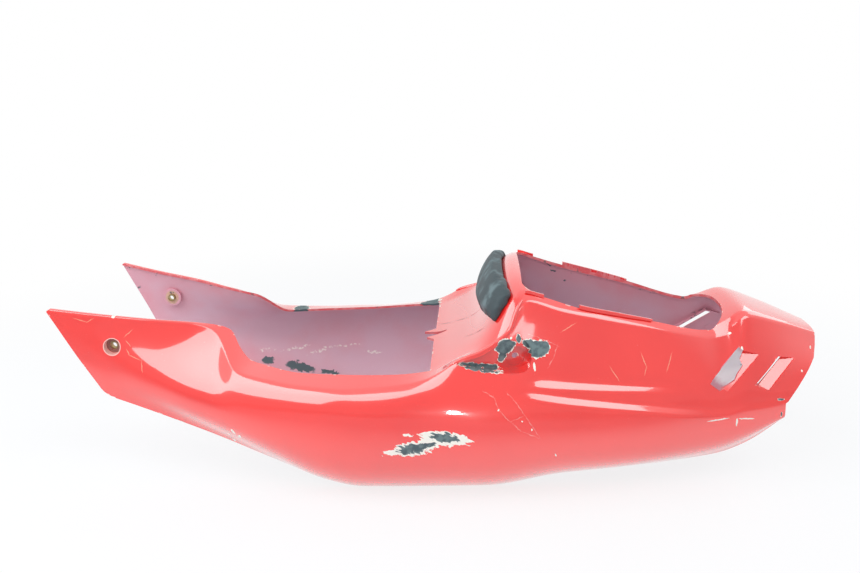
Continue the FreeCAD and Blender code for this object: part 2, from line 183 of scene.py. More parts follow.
def half_section(x):
    low, high = belt(x)[:, :1], belt(x)[:, 1:2]
    rows = np.linspace(0, 1, LOWER_ROWS)[None, :].repeat(len(x), 0)
    poles = side_poles(widest(x), bottom(x), lean(x)[:, 1], LOWER_FULLNESS, -1)
    lower = bezier(poles[:, ::-1], rows)
    k, flange_end = crease(x), inner_edge(x)
    rise = np.linalg.norm(k - widest(x), axis=1)[:, None]
    turn = 1 - np.minimum(FOLD_ROUND / rise, MOST_TURN)
    stops = [0 * low, low, low + BELT_RISE, high, high + BELT_RISE, turn]
    runs = zip(stops, stops[1:], UPPER_COUNTS)
    shares = [start + (end - start) * np.linspace(0, 1, count)[None, 1:] for start, end, count in runs]
    upper = upper_side(x, np.hstack(shares))
    wide = np.linalg.norm(flange_end - k, axis=1)[:, None]
    after = k + (flange_end - k) * np.minimum(MOST_FLANGE, FOLD_ROUND / wide)
    before = upper[:, -1]
    t = np.linspace(0, 1, FOLD_COUNT)[None, 1:, None]
    fold = (1 - t) ** 2 * before[:, None] + 2 * t * (1 - t) * k[:, None] + t * t * after[:, None]
    s = np.linspace(0, 1, FLANGE_COUNT)[None, 1:, None]
    flange = after[:, None] + (flange_end - after)[:, None] * s
    return np.concatenate([lower, upper, fold, flange], 1)


CROWN_SHAPE = (1, -0.5, 1 / 3, -0.5, 1)
SHEET_ROWS = 29


def top_sheet(x, t):
    weights = [math.comb(4, k) * t ** k * (1 - t) ** (4 - k) * CROWN_SHAPE[k] for k in range(5)]
    y, z = inner_edge(x).T[:, :, None]
    crown = centre(x)
    return np.stack([y * (2 * t - 1), crown + (z - crown) * sum(weights)], -1)


def smooth_along(grid, width):
    reach = int(4 * width)
    kernel = np.exp(-0.5 * (np.arange(-reach, reach + 1) / width) ** 2)
    kernel /= kernel.sum()
    head = 2 * grid[:1] - grid[reach:0:-1]
    tail = 2 * grid[-1:] - grid[-2:-reach - 2:-1]
    long = np.concatenate([head, grid, tail])
    return sum(weight * long[i:i + len(grid)] for i, weight in enumerate(kernel))


stations = np.arange(-STATION_END, STATION_END + STATION_STEP / 2, STATION_STEP)
half = half_section(stations)
sheet = top_sheet(stations, np.linspace(0, 1, SHEET_ROWS)[None, 1:-1])
left = half * [-1, 1]
ring = np.concatenate([left, sheet, half[:, ::-1]], 1)
along = stations[:, None].repeat(ring.shape[1], 1)
skin = smooth_along(np.concatenate([along[..., None], ring], 2), SMOOTH_STATIONS)
print("skin grid:", skin.shape[0], "sections of", skin.shape[1], "points")

# %% [markdown]
# A moulding has a wall, so the grid is doubled: a second grid lies one wall thickness inside,
# along the surface's own normals, and four rims close the gap. The result is a watertight solid,
# which the boolean operations in the next steps need. Each face keeps a number for its finish:
# 0 is paint, 1 the bare inside, 2 a cut edge and 3 the paint in a recess.

# %% Walled skin
PAINT, INSIDE, EDGE, RECESS = 0, 1, 2, 3


# Outwards, because the sections run from left to right over the top
def grid_normals(grid):
    n = np.cross(np.gradient(grid, axis=0), np.gradient(grid, axis=1))
    return n / np.linalg.norm(n, axis=2, keepdims=True)


def to_metres(points):
    return (np.asarray(points, float) + [HOME, 0, 0]) * MM


def new_piece(name, points, faces, finish=None):
    mesh = bpy.data.meshes.new(name)
    mesh.from_pydata(points, [], faces)
    if finish is not None:
        mesh.polygons.foreach_set("material_index", finish)
    mesh.update()
    piece = bpy.data.objects.new(name, mesh)
    bpy.context.scene.collection.objects.link(piece)
    return piece


def walled(name, outer, wall):
    inner = outer - grid_normals(outer) * wall
    rows, columns = outer.shape[:2]
    inside = rows * columns
    index = np.arange(inside).reshape(rows, columns)
    quads = np.stack([index[:-1, :-1], index[1:, :-1], index[1:, 1:], index[:-1, 1:]], -1).reshape(-1, 4)
    faces = [quads, quads[:, ::-1] + inside]
    for border in (index[:, 0], index[-1, :], index[::-1, -1], index[0, ::-1]):
        after, before = border[1:], border[:-1]
        faces.append(np.stack([after, before, before + inside, after + inside], -1))
    counts = [len(part) for part in faces]
    finish = np.repeat([PAINT, INSIDE] + [EDGE] * 4, counts)
    points = to_metres(np.concatenate([outer.reshape(-1, 3), inner.reshape(-1, 3)]))
    return new_piece(name, points.tolist(), np.concatenate(faces).tolist(), finish)


shell = walled("tail_shell_skin", skin, WALL)
print("walled skin:", len(shell.data.polygons), "faces")

# %% [markdown]
# Openings, recesses and the small walls behind them are made as on a workbench: first plugs of
# material are added behind the skin, then cutters take material away through skin and plugs
# together. The cutters' faces keep a finish number too, so a recess comes out painted and the
# rim of an opening comes out as a cut edge.

# %% Plugs and cutters
OVERRUN = 12.0
SIDE_REACH = 200.0
SKIN_DEPTH = 1.5
SIDE_SAMPLES = 200
plugs = []
cutters = []


# Normals outwards, after points closer than the merge distance become one
def closed_up(piece, merge=0):
    work = bmesh.new()
    work.from_mesh(piece.data)
    if merge:
        bmesh.ops.remove_doubles(work, verts=work.verts, dist=merge)
    bmesh.ops.recalc_face_normals(work, faces=work.faces)
    work.to_mesh(piece.data)
    work.free()
    return piece


# A closed body from rings of points, each ring with the same count
def ringed(name, rings, finish):
    count = len(rings[0])
    points = np.concatenate(rings)
    faces = [list(range(count)), list(range(len(points) - count, len(points)))]
    for k in range(len(rings) - 1):
        for j in range(count):
            a, b = k * count + j, k * count + (j + 1) % count
            faces.append([a, b, b + count, a + count])
    return closed_up(new_piece(name, to_metres(points).tolist(), faces, [finish] * len(faces)))


def on_both_sides(store, name, rings, finish):
    store.append(ringed(name + "_left", rings, finish))
    mirrored = [np.asarray(r, float) * [1, -1, 1] for r in rings]
    store.append(ringed(name + "_right", mirrored, finish))


# A straight cut from far outside the left side to a depth
def side_cut(name, outline, end):
    rings = [[(x, y, z) for x, z in outline] for y in (-SIDE_REACH, end)]
    cutters.append(ringed(name, rings, EDGE))


# Half width of the painted side at a station and height
def side_y(x, z):
    rows = upper_side(np.array([float(x)]), np.linspace(0, 1, SIDE_SAMPLES)[None, :])[0]
    return float(np.interp(z, rows[:, 1], rows[:, 0]))


# The same on the smoothed skin, with the fold and the flange
def skin_y(x, z):
    at = (x - stations[0]) / STATION_STEP
    first = int(at)
    sides = skin[first:first + 2, LOWER_ROWS:half.shape[1]]
    near, far = [np.interp(z, np.maximum.accumulate(s[:, 2]), -s[:, 1]) for s in sides]
    return float(near + (far - near) * (at - first))


def rounded(outline, steps=6):
    p = np.asarray(outline, float)
    t = np.linspace(0, 1, steps, endpoint=False)[:, None]
    out = []
    for i in range(len(p)):
        a, b, c, d = p[i - 1], p[i], p[(i + 1) % len(p)], p[(i + 2) % len(p)]
        bend, twist = 2 * a - 5 * b + 4 * c - d, 3 * b - a - 3 * c + d
        out.append(0.5 * (2 * b + (c - a) * t + bend * t * t + twist * t ** 3))
    return np.concatenate(out)


def grown(outline, by):
    p = np.asarray(outline, float)
    middle = p.mean(0)
    away = p - middle
    return middle + away * (1 + by / np.linalg.norm(away, axis=1, keepdims=True))


# %% [markdown]
# The two large openings are cut straight down. The seat opening runs back to the foot of the hump,
# where the sheet is torn into two pointed flaps. The rear opening has small front corners and a
# rounded rear end.

# %% Seat and rear openings
EDGE_TRIM = 1.5
HUMP_EDGE = -6.0
TEAR = [(-7, 22), (-16, 12), (-10, 9), (8, 4), (9, 1), (-5, -3), (-20, -9), (-6, -17)]
SEAT_CUT_LEVEL = 120.0
PILLION_FRONT, PILLION_TURN, PILLION_REAR = 97.0, 312.0, 343.0
PILLION_CORNER = 24.0
CORNER_STEPS = 10
PILLION_CUT_LEVEL = 170.0
CUT_HEIGHT = 150.0


def plan_cut(name, outline, level):
    rings = [[(x, y, z) for x, y in outline] for z in (level, level + CUT_HEIGHT)]
    cutters.append(ringed(name, rings, EDGE))


def edge_y(x):
    return float(inner_edge(x)[0, 0]) + EDGE_TRIM


front_run = [(x, edge_y(x)) for x in stations if x < HUMP_EDGE]
seat_side = [(stations[0] - OVERRUN, edge_y(stations[0]))] + front_run + [(HUMP_EDGE, edge_y(HUMP_EDGE))]
seat_outline = [(x, -y) for x, y in seat_side + TEAR] + seat_side[::-1]
plan_cut("seat_cut", seat_outline, SEAT_CUT_LEVEL)

turn = np.linspace(0, math.pi / 2, CORNER_STEPS)
corner_y = edge_y(PILLION_FRONT + PILLION_CORNER)
front_corner = [(PILLION_FRONT + PILLION_CORNER * (1 - math.sin(a)),
                 corner_y - PILLION_CORNER * (1 - math.cos(a))) for a in turn[::-1]]
side_run = [(x, edge_y(x)) for x in stations if PILLION_FRONT + PILLION_CORNER < x < PILLION_TURN]
rear_turn = [(PILLION_TURN + (PILLION_REAR - PILLION_TURN) * math.sin(a),
              edge_y(PILLION_TURN) * math.cos(a)) for a in turn[:-1]]
pillion_side = front_corner + side_run + rear_turn
plan_cut("rear_cut", [(x, -y) for x, y in pillion_side] + pillion_side[::-1], PILLION_CUT_LEVEL)
print("seat outline", len(seat_outline), "points, rear opening", 2 * len(pillion_side), "points")

# %% [markdown]
# In side view the nose is cut on a slant with a rounded tip and corner, and the tail ends upright,
# then runs forward and down to a small notch. Both cuts go straight through left and right.

# %% Nose and tail cuts
NOSE_CUT = [(-480, 262), (-447, 262), (-447, 213), (-450, 212.4), (-452, 211.2), (-452.7, 209.8),
            (-452.2, 208.5), (-404, 116), (-402, 112), (-399, 108), (-395, 104.5), (-390, 102), (-386, 101),
            (-386, 60), (-480, 60)]
TAIL_CUT = [(452, 300), (452, 171), (451, 163), (447, 150), (413, 105), (410, 103), (412, 60), (480, 60),
            (480, 300)]
side_cut("nose_cut", NOSE_CUT, SIDE_REACH)
side_cut("tail_cut", TAIL_CUT, SIDE_REACH)
print("nose and tail cut")

# %% [markdown]
# Each side has two air scoops. A scoop is a ramp: flush with the skin at its rear edge, deeper
# towards the front, where a slot lets the air through. The left front ramp is broken out, and only
# a jagged strip is left along its rear edge.

# %% Scoops
VENTS = [((316, 137), (349, 169), (374, 162), (336, 124)), ((370, 129), (399, 157), (420, 153), (387, 121))]
SCOOP_DEPTHS = (10.0, 10.0, 0.3, 0.3)
SCOOP_WALL = 2.0
SCOOP_SLOT = 7.0
SLOT_END = 20.0
BROKEN_RAMP = [(314, 134), (349, 171), (357, 166), (352, 156), (355, 150), (348, 141), (345, 135), (337, 130),
               (326, 125)]
for k, corners in enumerate(VENTS):
    floor = [(x, depth - side_y(x, z), z) for (x, z), depth in zip(corners, SCOOP_DEPTHS)]
    wide = grown(corners, SCOOP_WALL)
    plug_low = [(x, depth + SCOOP_WALL - side_y(u, v), z)
                for (x, z), (u, v), depth in zip(wide, corners, SCOOP_DEPTHS)]
    plug_top = [(x, SKIN_DEPTH - side_y(u, v), z) for (x, z), (u, v) in zip(wide, corners)]
    on_both_sides(plugs, f"scoop_{k}", [plug_low, plug_top], INSIDE)
    on_both_sides(cutters, f"scoop_cut_{k}", [floor, [(x, -SIDE_REACH, z) for x, y, z in floor]], RECESS)
    low_front, top_front, top_rear, low_rear = np.array(corners, float)
    share = SCOOP_SLOT / np.linalg.norm(low_rear - low_front)
    slot = [low_front, top_front, top_front + (top_rear - top_front) * share,
            low_front + (low_rear - low_front) * share]
    slot_rings = [[(x, y, z) for x, z in slot] for y in (-SIDE_REACH, -SLOT_END)]
    on_both_sides(cutters, f"slot_{k}", slot_rings, EDGE)
side_cut("broken_ramp", BROKEN_RAMP, -SLOT_END)
print("scoops:", 2 * len(VENTS))

# %% [markdown]
# The front mounts are round cups in the wings with a plated bush in the floor. The side pockets
# under the hump have a round seat with a hole. A round cutter bores each of them, and the pocket's
# outline is a smooth closed curve through a few points.

# %% Cups and pockets
FRONT_MOUNT = (-382.0, 166.0)
CUP_R, CUP_DEPTH = 9.5, 6.0
BUSH_HOLE_R = 5.15
POCKET = [(24, 170), (50, 178), (70, 189), (82, 198), (94, 196), (104, 187), (107, 176), (103, 165),
          (92, 161), (60, 163)]
POCKET_TIP, POCKET_TAIL = (24, -139.0), (107, -119.0)
POCKET_SEAT = (89.0, 174.0)
SEAT_R, SEAT_DEPTH = 11.5, 1.5
BOLT_R = 3.25
ROUND_COUNT = 40
ACROSS = (0, 1, 0)


def disc(centre_point, axis, radius):
    axis = Vector(axis).normalized()
    side = axis.orthogonal().normalized()
    up = axis.cross(side)
    angles = np.linspace(0, 2 * math.pi, ROUND_COUNT, endpoint=False)
    return [tuple(Vector(centre_point) + (side * math.cos(a) + up * math.sin(a)) * radius) for a in angles]


def bored(name, start, axis, radius, span, finish):
    axis = Vector(axis).normalized()
    rings = [disc(Vector(start) + axis * at, axis, radius) for at in span]
    on_both_sides(cutters, name, rings, finish)


cup_x, cup_z = FRONT_MOUNT
cup_face = (cup_x, -side_y(cup_x, cup_z), cup_z)
boss = disc(cup_face, ACROSS, CUP_R + WALL)
boss_end = cup_face[1] + CUP_DEPTH + WALL
on_both_sides(plugs, "cup_boss", [[(x, SKIN_DEPTH - skin_y(x, z), z) for x, y, z in boss],
                                  [(x, boss_end, z) for x, y, z in boss]], INSIDE)
bored("cup_recess", cup_face, ACROSS, CUP_R, (-OVERRUN, CUP_DEPTH), RECESS)
bored("cup_hole", cup_face, ACROSS, BUSH_HOLE_R, (0, CUP_DEPTH + OVERRUN), EDGE)


def pocket_floor(x):
    share = (x - POCKET_TIP[0]) / (POCKET_TAIL[0] - POCKET_TIP[0])
    return POCKET_TIP[1] + (POCKET_TAIL[1] - POCKET_TIP[1]) * share


outline = rounded(POCKET)
rim = grown(outline, WALL)
rim[:, 1] = np.minimum(rim[:, 1], crease(rim[:, 0])[:, 1] - WALL)
plug_outer = [(x, SKIN_DEPTH - skin_y(x, z), z) for x, z in rim]
plug_inner = [(x, max(pocket_floor(x) + WALL, y + SKIN_DEPTH), z) for x, y, z in plug_outer]
on_both_sides(plugs, "pocket", [plug_inner, plug_outer], INSIDE)
on_both_sides(cutters, "pocket_cut", [[(x, pocket_floor(x), z) for x, z in outline],
                                      [(x, -SIDE_REACH, z) for x, z in outline]], RECESS)
seat_x, seat_z = POCKET_SEAT
seat_point = (seat_x, pocket_floor(seat_x), seat_z)
inward = Vector((POCKET_TIP[1] - POCKET_TAIL[1], POCKET_TAIL[0] - POCKET_TIP[0], 0)).normalized()
bored("seat_dish", seat_point, inward, SEAT_R, (-WALL, SEAT_DEPTH), RECESS)
bored("seat_hole", seat_point, inward, BOLT_R, (0, OVERRUN), EDGE)
print("cups and pockets ready, cup face at", [round(v, 1) for v in cup_face])

# %% [markdown]
# A low lip stands on the rim of the rear opening, and a tongue fills each of its front corners.
# Both are short bars that follow the inner edge.

# %% Lips
LIP = [(161, 3), (200, 2.5), (246, 1)]
TONGUE = [(100, 2), (121, 2.5)]
LIP_WALL = 2.5
LIP_RINGS = 12


def lip(name, run):
    table = np.array(run, float)
    rings = []
    for x in np.linspace(table[0, 0], table[-1, 0], LIP_RINGS):
        y, z = inner_edge(x)[0] + [EDGE_TRIM, 0]
        low, top = z - WALL / 2, z + np.interp(x, table[:, 0], table[:, 1])
        rings.append([(x, -y, low), (x, -y, top), (x, -y - LIP_WALL, top), (x, -y - LIP_WALL, low)])
    on_both_sides(plugs, name, rings, PAINT)


lip("rim_lip", LIP)
lip("corner_tongue", TONGUE)
print("plugs:", len(plugs), "cutters:", len(cutters))

# %% [markdown]
# A rolled bead stiffens the fold beside the hump. It follows a path, so Geometry Nodes make it: the
# path becomes a curve, a round profile is swept along it, and the ends taper off. The sizes are
# inputs of the tree, and the result becomes one more plug.

# %% Rolled bead
BEAD_SPAN = (16.0, 99.0)
BEAD_R = 2.6
BEAD_SINK = 0.9
BEAD_POINTS = 60
BEAD_SIDES = 16
BEAD_TAPER = [(0, 0.1), (1, 0.1), (0.25, 1), (0.8, 1)]


def applied(piece):
    graph = bpy.context.evaluated_depsgraph_get()
    mesh = bpy.data.meshes.new_from_object(piece.evaluated_get(graph))
    piece.modifiers.clear()
    piece.data = mesh


def bead_tree():
    tree = bpy.data.node_groups.new("rolled_bead", "GeometryNodeTree")
    given = {"Path": "Geometry", "Radius": "Float", "Points": "Int", "Finish": "Material"}
    for name, kind in given.items():
        tree.interface.new_socket(name, in_out="INPUT", socket_type="NodeSocket" + kind)
    tree.interface.new_socket("Bead", in_out="OUTPUT", socket_type="NodeSocketGeometry")
    kinds = {"given": "NodeGroupInput", "curve": "GeometryNodeMeshToCurve",
             "even": "GeometryNodeResampleCurve", "along": "GeometryNodeSplineParameter",
             "taper": "ShaderNodeFloatCurve", "ring": "GeometryNodeCurvePrimitiveCircle",
             "sweep": "GeometryNodeCurveToMesh", "real": "GeometryNodeRealizeInstances",
             "finish": "GeometryNodeSetMaterial", "result": "NodeGroupOutput"}
    made = {name: tree.nodes.new(kind) for name, kind in kinds.items()}
    stops = made["taper"].mapping.curves[0].points
    stops[0].location, stops[1].location = BEAD_TAPER[:2]
    for at, size in BEAD_TAPER[2:]:
        stops.new(at, size)
    made["ring"].inputs["Resolution"].default_value = BEAD_SIDES
    made["sweep"].inputs["Fill Caps"].default_value = True
    chain = ["given", "curve", "even", "sweep", "real", "finish", "result"]
    links = [(source, 0, target, 0) for source, target in zip(chain, chain[1:])]
    links += [("given", "Points", "even", "Count"), ("given", "Radius", "ring", "Radius"),
              ("ring", "Curve", "sweep", "Profile Curve"), ("along", "Factor", "taper", "Value"),
              ("taper", "Value", "sweep", "Scale"), ("given", "Finish", "finish", "Material")]
    for source, out, target, into in links:
        tree.links.new(made[source].outputs[out], made[target].inputs[into])
    return tree


def swept(name, points, tree, radius):
    path = new_piece(name, to_metres(points).tolist(), [])
    path.data.edges.add(len(points) - 1)
    path.data.edges.foreach_set("vertices", [v for k in range(len(points) - 1) for v in (k, k + 1)])
    step = path.modifiers.new("bead", "NODES")
    step.node_group = tree
    given = {item.name: item.identifier for item in tree.interface.items_tree if item.in_out == "INPUT"}
    step[given["Radius"]] = radius * MM
    step[given["Points"]] = BEAD_POINTS
    applied(path)
    return closed_up(path)


bead = bead_tree()
bead_x = np.linspace(*BEAD_SPAN, BEAD_POINTS)
bead_y, bead_z = crease(bead_x).T
for side, name in ((-1, "bead_left"), (1, "bead_right")):
    points = np.stack([bead_x, side * (bead_y - BEAD_SINK), bead_z - BEAD_SINK], 1)
    plugs.append(swept(name, points, bead, BEAD_R))
print("bead faces:", len(plugs[-1].data.polygons))

# %% [markdown]
# The boolean modifiers are stacked on the shell, the plugs first, and the finished mesh is read
# back once. The tools are then thrown away. Edges sharper than the angle below are kept sharp, and
# so is every edge between two finishes, or the light would bend around an opening.

# %% Join and cut
SHARP = math.radians(38)


# One value, or one row of values, for every item of a mesh
def read(items, name, kind, width=1):
    values = np.empty(len(items) * width, kind)
    items.foreach_get(name, values)
    return values if width == 1 else values.reshape(-1, width)


def carved(piece, added, removed):
    for operation, tools in (("UNION", added), ("DIFFERENCE", removed)):
        for tool in tools:
            step = piece.modifiers.new(tool.name, "BOOLEAN")
            step.solver = "MANIFOLD"
            step.operation = operation
            step.object = tool
    applied(piece)
    for tool in added + removed:
        bpy.data.objects.remove(tool)
    mesh = piece.data
    mesh.shade_smooth()
    mesh.set_sharp_from_angle(angle=SHARP)
    loop_edges = read(mesh.loops, "edge_index", int)
    face_finish = read(mesh.polygons, "material_index", int)
    loop_finish = np.repeat(face_finish, read(mesh.polygons, "loop_total", int))
    least, most = np.full(len(mesh.edges), RECESS), np.zeros(len(mesh.edges), int)
    np.minimum.at(least, loop_edges, loop_finish)
    np.maximum.at(most, loop_edges, loop_finish)
    mesh.edges.foreach_set("use_edge_sharp", read(mesh.edges, "use_edge_sharp", bool) | (least != most))


carved(shell, plugs, cutters)
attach(shell, "root")
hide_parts("tail_shell")
print("shell:", len(shell.data.polygons), "faces")

# %% [markdown]
# Wear follows edges, so the finish has to know where the edges are. For every point of the shell the
# distance to the nearest cut edge is measured once and kept as an attribute of the mesh. A material
# can read it by name, and it travels with the piece.

# %% Distance to the nearest cut edge
def keep_edge_distance(piece):
    mesh = piece.data
    rim_points = {v for face in mesh.polygons if face.material_index == EDGE for v in face.vertices}
    tree = kdtree.KDTree(len(rim_points))
    for k in rim_points:
        tree.insert(mesh.vertices[k].co, k)
    tree.balance()
    far = [tree.find(vertex.co)[2] / MM for vertex in mesh.vertices]
    mesh.attributes.new("from_edge", "FLOAT", "POINT").data.foreach_set("value", far)
    return max(far)


print("furthest point from a cut edge:", round(keep_edge_distance(shell)), "mm")

# %% [markdown]
# Shader nodes are easier to read as arithmetic. `Value` wraps one output socket and overloads the
# operators, so `1 - mask * 2` adds the Math nodes by itself. `Nodes` is one node tree: its method
# `node` makes any other node from a type, its settings and its sockets. `Finish` is a material.

# %% Shader arithmetic
PATCH_DEPTH = 40.0


class Value:
    def __init__(self, finish, socket):
        self.finish, self.socket = finish, socket

    def math(self, operation, first, second):
        return self.finish.node("ShaderNodeMath", {"operation": operation}, {0: first, 1: second})

    def __add__(self, other):
        return self.math("ADD", self, other)

    def __sub__(self, other):
        return self.math("SUBTRACT", self, other)

    def __rsub__(self, other):
        return self.math("SUBTRACT", other, self)

    def __mul__(self, other):
        return self.math("MULTIPLY", self, other)

    __radd__ = __add__
    __rmul__ = __mul__

    def least(self, other):
        return self.math("MINIMUM", self, other)

    def most(self, other):
        return self.math("MAXIMUM", self, other)

    # 0 at the start, 1 at the end, and a soft step between
    def step(self, start, end):
        sockets = {"Value": self, "From Min": start, "From Max": end}
        return self.finish.node("ShaderNodeMapRange", {"interpolation_type": "SMOOTHSTEP"}, sockets)

    def fall(self, start, end):
        return 1 - self.step(start, end)


class Nodes:
    def __init__(self, tree):
        self.tree = tree

    def node(self, kind, settings, sockets, out=0):
        made = self.tree.nodes.new(kind)
        for name, value in settings.items():
            setattr(made, name, value)
        for name, value in sockets.items():
            self.feed(made.inputs[name], value)
        return Value(self, made.outputs[out])

    def feed(self, socket, value):
        if isinstance(value, Value):
            self.tree.links.new(value.socket, socket)
        else:
            socket.default_value = value

    # How a ray came: 1 for rays of the kind named, 0 for others
    def ray(self, kind):
        return self.node("ShaderNodeLightPath", {}, {}, f"Is {kind} Ray")


class Finish(Nodes):
    def __init__(self, name):
        self.material = bpy.data.materials.new(name)
        self.material.use_nodes = True
        super().__init__(self.material.node_tree)
        self.shader = self.tree.nodes["Principled BSDF"]
        self.place = self.node("ShaderNodeTexCoord", {}, {}, "Object")

    def set(self, **sockets):
        for name, value in sockets.items():
            self.feed(self.shader.inputs[name.replace("_", " ")], value)

    def mix(self, share, first, second):
        return self.node("ShaderNodeMix", {"data_type": "RGBA"}, {0: share, 6: first, 7: second}, 2)

    # Colours laid over each other from the bottom up, each by its share
    def layers(self, base, coats):
        for share, coat in coats:
            base = self.mix(share, base, coat)
        return base

    def vector(self, operation, sockets, out=0):
        return self.node("ShaderNodeVectorMath", {"operation": operation}, sockets, out)

    def length(self, vector):
        return self.vector("LENGTH", {0: vector}, "Value")

    # The distance that was kept in the mesh
    def from_edge(self):
        return self.node("ShaderNodeAttribute", {"attribute_name": "from_edge"}, {}, "Fac")

    # Noise between 0 and 1, with features of a size in millimetres, or of size 1 in a place of its own
    def noise(self, grain, detail=3.0, place=None, out=0):
        scale = 1 / grain if place else 1 / (grain * MM)
        sockets = {"Vector": place or self.place, "Scale": scale, "Detail": detail}
        return self.node("ShaderNodeTexNoise", {}, sockets, out)

    # The place moved, turned and scaled, so that a patch becomes a ball of radius 1
    def within(self, centre_point, turn, half_sizes, place=None):
        sockets = {"Vector": place or self.place, "Location": to_metres(centre_point).tolist(),
                   "Rotation": [math.radians(a) for a in turn], "Scale": [h * MM for h in half_sizes]}
        return self.node("ShaderNodeMapping", {"vector_type": "TEXTURE"}, sockets)

    # Noise pushes the place about, so that edges drawn with it come out ragged
    def ragged(self, grain, reach):
        cloud = self.noise(grain, out="Color")
        centred = self.vector("SUBTRACT", {0: cloud, 1: (0.5, 0.5, 0.5)})
        scaled = self.vector("SCALE", {0: centred, "Scale": 2 * reach * MM})
        return self.vector("ADD", {0: self.place, 1: scaled})

    # Distance to the nearest patch of a list, 1 on its border, each given in side view or in plan
    def patches(self, table, place, plan=False):
        near = None
        for x, y, z, long, high, tilt in table:
            turn = (0, 0, tilt) if plan else (0, -tilt, 0)
            half_sizes = (long, high, PATCH_DEPTH) if plan else (long, PATCH_DEPTH, high)
            ball = self.length(self.within((x, y, z), turn, half_sizes, place))
            near = ball if near is None else near.least(ball)
        return near

    def bump(self, height, strength, distance):
        sockets = {"Height": height, "Strength": strength, "Distance": distance * MM}
        return self.node("ShaderNodeBump", {}, sockets)


def colour(red, green, blue):
    def linear(v):
        v = v / 255
        return v / 12.92 if v <= 0.04045 else ((v + 0.055) / 1.055) ** 2.4
    return (linear(red), linear(green), linear(blue), 1)


print("shader arithmetic ready")

# %% [markdown]
# The outside is gloss red lacquer over pale primer over dark plastic. Where it was knocked, the
# primer shows as a ragged pale border and the plastic as a dark middle. A scratch or a crack is a
# chain of very thin patches. The tables list the damage of the left side as it lies in side view:
# place, half length, half height and tilt, all in millimetres and degrees.

# %% Damage of the paint
FLANK_PRIMER = [(-22, -170, 80, 22, 9, 10), (12, -170, 93, 27, 8.5, -6), (-6, -170, 86, 20, 8, 20),
                (-40, -170, 76, 15, 4, 12), (-28, -171, 97, 6, 2, 0), (-8, -170, 99, 9, 2, 5),
                (33, -168, 94, 11, 3, -25)]
FLANK_PLASTIC = [(-22, -170, 80, 18, 6.5, 10), (13, -170, 94, 16, 5.5, -9), (-4, -170, 85, 9, 3, 15)]
LOSSES = [(76, -126, 185, 8, 9, 10), (82, -124, 188, 7, 5, -15), (74, -126, 175, 4, 6, 0),
          (93, -122, 194, 3, 4, 0), (104, -121, 188, 7, 5, -30), (114, -121, 183, 9, 7.5, -30),
          (121, -118, 184, 6, 6, 20), (108, -122, 178, 4, 3, 0), (50, -140, 165.5, 22, 2.3, -9),
          (-20, 127, 152, 15, 3, 5), (-202, 112, 147, 10, 3, 0), (404, -78, 109, 4, 1.5, -15),
          (407, -79, 90, 1.2, 4, 0)]
LOSS_BORDER = 0.2
NICKS = [(84, -124, 195, 1.4, 1.4, 0), (43, -134, 168, 1.4, 1.4, 0), (110, -131, 166, 1.3, 4.5, 10),
         (-243, -124, 68, 1.8, 2.2, 0), (-233, -138, 79, 2, 4.5, 15), (-227, -135, 71, 2, 4, -20),
         (-241, -111, 54, 2, 3, 0), (136, -153, 68, 0.8, 2.2, 20), (108, -160, 102, 0.7, 1.3, 0),
         (97, -161, 112, 0.7, 1.2, 30), (71, -161, 125, 0.8, 1.4, -20), (-380, -94, 201, 2, 1.5, 0),
         (340, -66, 185, 2.2, 1.3, 0), (353, -77, 169, 1.5, 3, 0), (444, -46, 161, 0.9, 1.6, 0),
         (430, -64, 138, 1, 1.3, 40), (325, -106, 93, 14, 0.8, 2), (361, -94, 90, 10, 0.9, -7),
         (349, -98, 87, 1.3, 5, 0)]
SCRATCHED = [[(-423, 201), (-409, 196), (-402, 200)], [(-367, 178), (-359, 185)], [(-365, 173), (-360, 167)],
             [(-364, 163), (-361, 157), (-348, 152)], [(-346, 151), (-345, 139)], [(141, 199), (156, 207)],
             [(196, 160), (206, 146)], [(232, 172), (238, 158), (236, 150)], [(268, 170), (262, 152)]]
CRACKED = [[(55, 144), (66, 138), (71, 125), (84, 112), (96, 101), (115, 92)],
           [(80, 142), (92, 130), (98, 121), (116, 94)], [(84, 112), (97, 117)],
           [(103, 198), (118, 193), (136, 185), (131, 172), (126, 165)]]
HUMP_CRACKS = [[(-5, 33), (18, 17), (37, 0), (51, -13)], [(34, -66), (43, -74), (55, -89)]]
SCRATCH_HALF, CRACK_HALF, HUMP_CRACK_HALF = 0.5, 0.5, 0.8
STROKE_OVERLAP = 1.0
CUP_FACE = [(*cup_face, CUP_R, CUP_R, 0)]
# A patch where the paint in the pocket recess is made darker and duller
POCKET_DARKER_PATCH = [(88, -124, 172, 22, 14, 15)]


# Thin patches along chains of points in side view, or in plan on the hump's front sheet
def strokes_along(chains, half_width, plan=False):
    rows = []
    for points in chains:
        for start, end in zip(points, points[1:]):
            a, b = (start[0] + end[0]) / 2, (start[1] + end[1]) / 2
            place = (a, b, float(centre(a)[0, 0])) if plan else (a, -side_y(a, b), b)
            tilt = math.degrees(math.atan2(end[1] - start[1], end[0] - start[0]))
            rows.append((*place, math.dist(start, end) / 2 + STROKE_OVERLAP, half_width, tilt))
    return rows


scratch_rows = strokes_along(SCRATCHED, SCRATCH_HALF)
crack_rows = strokes_along(CRACKED, CRACK_HALF)
hump_rows = strokes_along(HUMP_CRACKS, HUMP_CRACK_HALF, plan=True)
print("damage:", len(LOSSES), "losses,", len(NICKS), "nicks,", len(scratch_rows + crack_rows), "strokes")

# %% [markdown]
# Colour clouds, dust specks, hairlines along the part and chipped edges make the sound paint look
# used. Every mask is plain arithmetic on noise and distance: the two numbers of a `step` say where
# it begins and where it is full, and `fall` is its opposite. Each layer of damage is mixed over the
# one below it: paint, scratches, primer, plastic.

